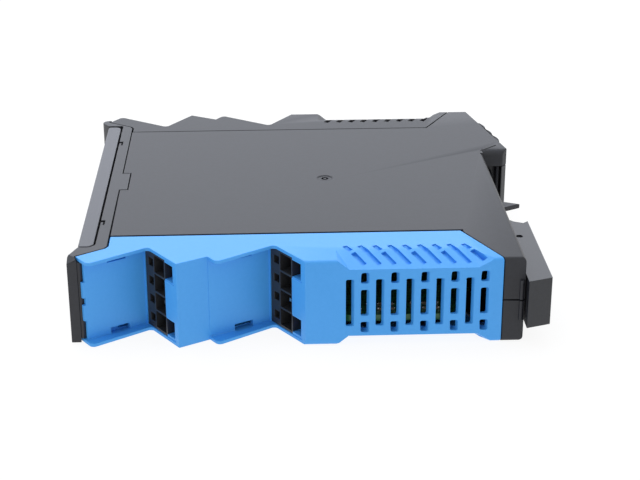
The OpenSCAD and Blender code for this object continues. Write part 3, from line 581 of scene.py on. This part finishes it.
@dataclass
class PocketTrim:
    """What shows inside the plug pockets: the housings' linings and one longer contact per header.

    The linings cover three sides of each header's outer cells. The longer contact meets its plug
    first. Places in a pocket are s along its platform, t along its header and z across the part.
    The longer contact has its t and z in contact, and its foot, shoulder and point in contact_s.
    """

    turn_deg: float = 34.4
    valley_x: tuple[float, float] = (-39.9, -9.0)
    valley_y: float = 46.0
    face_s: float = -0.25
    back_s: float = -4.25
    rim_s: float = 0.3
    cell_t: tuple[float, float] = (7.2, 10.8)
    rim_t: float = 11.25
    cell_z: tuple[tuple[float, float], ...] = ((1.5, 6.0), (16.5, 21.0))
    rim_z: tuple[tuple[float, float], ...] = ((0.92, 6.23), (16.27, 21.58))
    skin: float = 0.04
    contact: tuple[float, float] = (4.4, 8.75)
    contact_half: float = 0.5
    contact_s: tuple[float, float, float] = (-2.65, -1.8, -1.65)
    point_share: float = 0.85

    def spread(self, shells: np.ndarray, side: int) -> np.ndarray:
        """Turns shells from pocket places to the part's axes, once for each pocket of a side.

        x is the valley's x minus s cos turn plus t sin turn. y is the valley's y plus s sin turn
        plus t cos turn, counted from the housing's middle towards the side.

        Args:
            shells: Shells by rows by columns by s, t and z.
            side: Sign of the side's Y.

        Returns:
            The shells of both pockets, with columns turned round on the mirrored side.
        """
        turn = math.radians(self.turn_deg)
        s, t, z = np.moveaxis(shells, -1, 0)
        y = MIDDLE_Y + side * (self.valley_y + s * math.sin(turn) + t * math.cos(turn))
        pockets = np.concatenate([
            np.stack([x - s * math.cos(turn) + t * math.sin(turn), y, z], axis=-1)
            for x in self.valley_x])
        return pockets if side < 0 else pockets[:, :, ::-1]

    def linings(self) -> np.ndarray:
        """Carries a channel section along s: the cell's floor, far wall and ceiling, skin thick.

        Its outer line widens just behind the header's face, so that its rim covers that face.

        Returns:
            One shell per outer cell, in pocket places.
        """
        near, far = self.cell_t
        inner = far - self.skin
        low, high = np.array(self.cell_z).T[..., None]
        foot, head = np.array(self.rim_z).T[..., None]
        floor, ceiling = low + self.skin, high - self.skin
        s = np.array([self.back_s, self.face_s - self.rim_s, self.face_s, self.face_s + self.skin])
        t = np.array([[inner, near, near, reach, reach, near, near, inner]
                      for reach in (far, far, self.rim_t, self.rim_t)])
        cell = np.hstack([floor, floor, low, low, high, high, ceiling, ceiling])
        rim = np.hstack([floor, floor, foot, foot, head, head, ceiling, ceiling])
        z = np.stack([cell, cell, rim, rim], axis=1)
        return np.stack(np.broadcast_arrays(s[:, None], t, z), axis=-1)

    def contacts(self) -> np.ndarray:
        """Carries a square along s: as wide as the contact up to its shoulder, less at its point.

        Returns:
            One shell in pocket places.
        """
        s = np.array(self.contact_s)[:, None]
        half = self.contact_half * np.array([1.0, 1.0, self.point_share])[:, None]
        t = self.contact[0] + half * np.array([1, 1, -1, -1])
        z = self.contact[1] + half * np.array([-1, 1, 1, -1])
        return np.stack(np.broadcast_arrays(s, t, z), axis=-1)[None]

    def build(self) -> tuple[bpy.types.Mesh, bpy.types.Mesh, bpy.types.Mesh]:
        """Makes the linings of either side and all longer contacts.

        Returns:
            Input linings, output linings and contacts.
        """
        near, far = (grid_mesh(f"{name}_linings", self.spread(self.linings(), side), ring=False)
                     for name, side in SIDES.items())
        points = np.concatenate([self.spread(self.contacts(), side) for side in SIDES.values()])
        return near, far, grid_mesh("first_contacts", points, ring=False)

    def dress(self, materials: Materials) -> None:
        """Gives the linings their housing's plastic and the contacts their tin, with flat faces.

        Args:
            materials: Materials by finish name.
        """
        looks = ((BLUE, Slot.BLUE), (GREY, Slot.GREY), (TIN, Slot.CONTACT))
        for mesh, (finish, slot) in zip(self.build(), looks):
            mesh.shade_flat()
            add_piece(mesh, materials[finish.name], Body.HOUSING)


@dataclass
class ChipParts:
    """Rows of chip capacitors along the board's two long edges, which show behind the vents."""

    count: int = 9
    first_x: float = 11.5
    pitch: float = 2.75
    rows: tuple[float, float] = (49.2, 51.9)
    board_top: float = 7.05
    body_mm: tuple[float, float, float] = (1.6, 0.8, 0.7)
    cap_mm: tuple[float, float, float] = (0.35, 0.84, 0.74)
    corner: float = 0.22
    pole_share: float = 0.49
    steps_up: int = 8
    steps_round: int = 16
    first_turn: float = 0.2

    def places(self) -> np.ndarray:
        """Lists where the parts stand: count steps of pitch along X, in every row on both sides.

        Returns:
            Rows of x, y and z.
        """
        x = self.first_x + self.pitch * np.arange(self.count)
        y = MIDDLE_Y + np.array([side * row for side in SIDES.values() for row in self.rows])
        grid_x, grid_y = np.meshgrid(x, y)
        grid_z = np.full_like(grid_x, self.board_top)
        return np.stack([grid_x, grid_y, grid_z], axis=-1).reshape(-1, 3)

    def rounded_box(self, size: tuple[float, float, float]) -> np.ndarray:
        """Works out a superellipsoid, which is a box with rounded corners.

        With a round its waist and b from foot to top, x is cos a times cos b, y is sin a times
        cos b and z is sin b, each factor raised to the corner's power with its sign kept. b stops
        just short of the poles, where a flat face closes the box.

        Args:
            size: Length, width and height.

        Returns:
            Rows by columns by three, standing on its foot.
        """
        b, a = np.meshgrid(
            np.linspace(-self.pole_share, self.pole_share, self.steps_up) * math.pi,
            np.linspace(0, math.tau, self.steps_round, endpoint=False) + self.first_turn,
            indexing="ij")
        ca, sa, cb, sb = (
            np.sign(wave) * np.abs(wave) ** self.corner
            for wave in (np.cos(a), np.sin(a), np.cos(b), np.sin(b)))
        return 0.5 * np.array(size) * np.stack([ca * cb, sa * cb, sb + 1], axis=-1)

    def build(self) -> tuple[bpy.types.Mesh, bpy.types.Mesh]:
        """Sets a body and two end caps at every place.

        Returns:
            The bodies and the caps.
        """
        places = self.places()[:, None, None]
        reach = np.array([(self.body_mm[0] - self.cap_mm[0]) / 2, 0.0, 0.0])
        caps = np.concatenate([places - reach, places + reach])
        return (grid_mesh("chip_bodies", self.rounded_box(self.body_mm) + places, ring=False),
                grid_mesh("chip_caps", self.rounded_box(self.cap_mm) + caps, ring=False))

    def dress(self, materials: Materials) -> None:
        """Puts bodies of ceramic and caps of tin on the board.

        Args:
            materials: Materials by finish name.
        """
        bodies, caps = self.build()
        add_piece(bodies, materials[CERAMIC.name], Body.HOUSING)
        add_piece(caps, materials[TIN.name], Body.HOUSING)


@dataclass
class Studio:
    """Pale floor, white surroundings and the photograph's camera."""

    floor_half_mm: float = 1500.0
    floor_drop_mm: float = 0.05
    floor_colour: str = "#616161"
    floor_glow: float = 0.9
    sky_front: float = 0.6
    sky_back: float = 1.12
    key_watts: float = 1.6
    key_size_mm: float = 500.0
    key_place_mm: tuple[float, float, float] = (-150.0, 150.0, 600.0)
    rim_watts: float = 3.2
    rim_size_mm: float = 1100.0
    rim_place_mm: tuple[float, float, float] = (-40.0, 900.0, 430.0)
    lamp_tint: tuple[float, float, float] = (0.88, 0.95, 1.12)
    camera_mm: tuple[float, float, float] = (-12.521, -387.043, 168.923)
    yaw_deg: float = 2.476
    elevation_deg: float = 22.967
    roll_deg: float = 0.09
    lens_mm: float = 85.23
    sensor_mm: float = 36.0
    clip_m: tuple[float, float] = (0.01, 20.0)

    def build(self) -> None:
        """Makes the floor, the light and the camera."""
        self.lay_floor()
        self.light()
        self.set_camera()

    def lay_floor(self) -> None:
        """Lays a square floor: two by two points from edge to edge, a hair below the part."""
        edge = np.array([-1.0, 1.0]) * self.floor_half_mm * MM
        x, y = np.meshgrid(edge, edge)
        z = np.full_like(x, -self.floor_drop_mm * MM)
        points = np.stack([x, y, z], axis=-1).reshape(-1, 3)
        mesh = bpy.data.meshes.new("floor")
        mesh.from_pydata(points.tolist(), [], [(0, 1, 3, 2)])
        material, tree, output = new_tree("matt white floor")
        shader = add_node(
            tree, "ShaderNodeBsdfPrincipled",
            {"Base Color": linear(self.floor_colour), "Roughness": 0.9, "Specular IOR Level": 0.0,
             "Emission Color": WHITE, "Emission Strength": self.floor_glow}, {})
        tree.links.new(shader.outputs["BSDF"], output.inputs["Surface"])
        make_object("floor", mesh, material)

    def light(self) -> None:
        """Lights the part from a pale sky, brighter behind it, and from two broad lamps.

        Rays that meet the sky straight from the camera, or through gloss or glass, find it white.
        """
        world = bpy.data.worlds.new("white surroundings")
        bpy.context.scene.world = world
        world.use_nodes = True
        tree = world.node_tree
        tree.nodes.clear()
        path = add_node(tree, "ShaderNodeLightPath", {}, {})
        clear = add_node(
            tree, "ShaderNodeMath", {"operation": "MAXIMUM"},
            {0: path.outputs["Is Glossy Ray"], 1: path.outputs["Is Transmission Ray"]})
        seen = add_node(
            tree, "ShaderNodeMath", {"operation": "MAXIMUM"},
            {0: path.outputs["Is Camera Ray"], 1: clear.outputs["Value"]})
        place = add_node(tree, "ShaderNodeTexCoord", {}, {})
        axes = add_node(tree, "ShaderNodeSeparateXYZ", {}, {"Vector": place.outputs["Generated"]})
        sky = add_node(
            tree, "ShaderNodeMapRange",
            {"From Min": -1.0, "From Max": 1.0, "To Min": self.sky_front,
             "To Max": self.sky_back},
            {"Value": axes.outputs["Y"]})
        strength = add_node(
            tree, "ShaderNodeMix", {"data_type": "FLOAT", MIX_NUMBER_B: 1.0},
            {MIX_FACTOR: seen.outputs["Value"], MIX_NUMBER_A: sky.outputs["Result"]})
        back = add_node(
            tree, "ShaderNodeBackground", {"Color": WHITE},
            {"Strength": strength.outputs[MIX_NUMBER_OUT]})
        output = tree.nodes.new("ShaderNodeOutputWorld")
        tree.links.new(back.outputs["Background"], output.inputs["Surface"])
        self.hang_lamp("overhead lamp", self.key_watts, self.key_size_mm, self.key_place_mm)
        self.hang_lamp("lamp behind", self.rim_watts, self.rim_size_mm, self.rim_place_mm)

    def hang_lamp(
            self, name: str, watts: float, size_mm: float, place_mm: tuple[float, float, float],
    ) -> None:
        """Hangs a square lamp that faces the part.

        Args:
            name: Name of the lamp.
            watts: Its power.
            size_mm: Length of its sides.
            place_mm: Its middle.
        """
        data = bpy.data.lights.new(name, "AREA")
        data.energy = watts
        data.color = self.lamp_tint
        data.size = size_mm * MM
        lamp = bpy.data.objects.new(name, data)
        lamp.location = Vector(place_mm) * MM
        lamp.rotation_mode = "QUATERNION"
        lamp.rotation_quaternion = (-lamp.location).to_track_quat("-Z", "Y")
        lamp.visible_camera = False
        bpy.context.scene.collection.objects.link(lamp)

    def set_camera(self) -> None:
        """Sets the camera at the place worked out from the photograph.

        It looks along the yaw and down by the elevation, turned by the roll.
        """
        yaw, low = math.radians(self.yaw_deg), math.radians(self.elevation_deg)
        ahead = Vector(
            (math.sin(yaw) * math.cos(low), math.cos(yaw) * math.cos(low), -math.sin(low)))
        data = bpy.data.cameras.new("camera")
        data.lens = self.lens_mm
        data.sensor_width = self.sensor_mm
        data.clip_start, data.clip_end = self.clip_m
        camera = bpy.data.objects.new("camera", data)
        camera.location = Vector(self.camera_mm) * MM
        camera.rotation_mode = "QUATERNION"
        roll = Quaternion(ahead, math.radians(self.roll_deg))
        camera.rotation_quaternion = roll @ ahead.to_track_quat("-Z", "Y")
        bpy.context.scene.collection.objects.link(camera)
        bpy.context.scene.camera = camera
        bpy.context.scene.view_settings.view_transform = "Standard"


def main() -> None:
    """Builds the finishes, the part's pieces and the studio, in that order."""
    logging.basicConfig(level=logging.INFO, format="%(name)s %(message)s")
    finishes = (GREY, BLUE, FRAME_GREY, FLAP_GREY, FOOT_GREY, HEADER_BLACK, TIN, MASK, FERRITE,
                TAPE, EPOXY, SLEEVE, RESIN, CERAMIC, CLEAR)
    materials = {finish.name: finish.build() for finish in finishes}
    for assembly in (Enclosure(), Electronics(), GateLips(), PocketTrim(), ChipParts()):
        assembly.dress(materials)
    Studio().build()


if __name__ == "__main__":
    main()
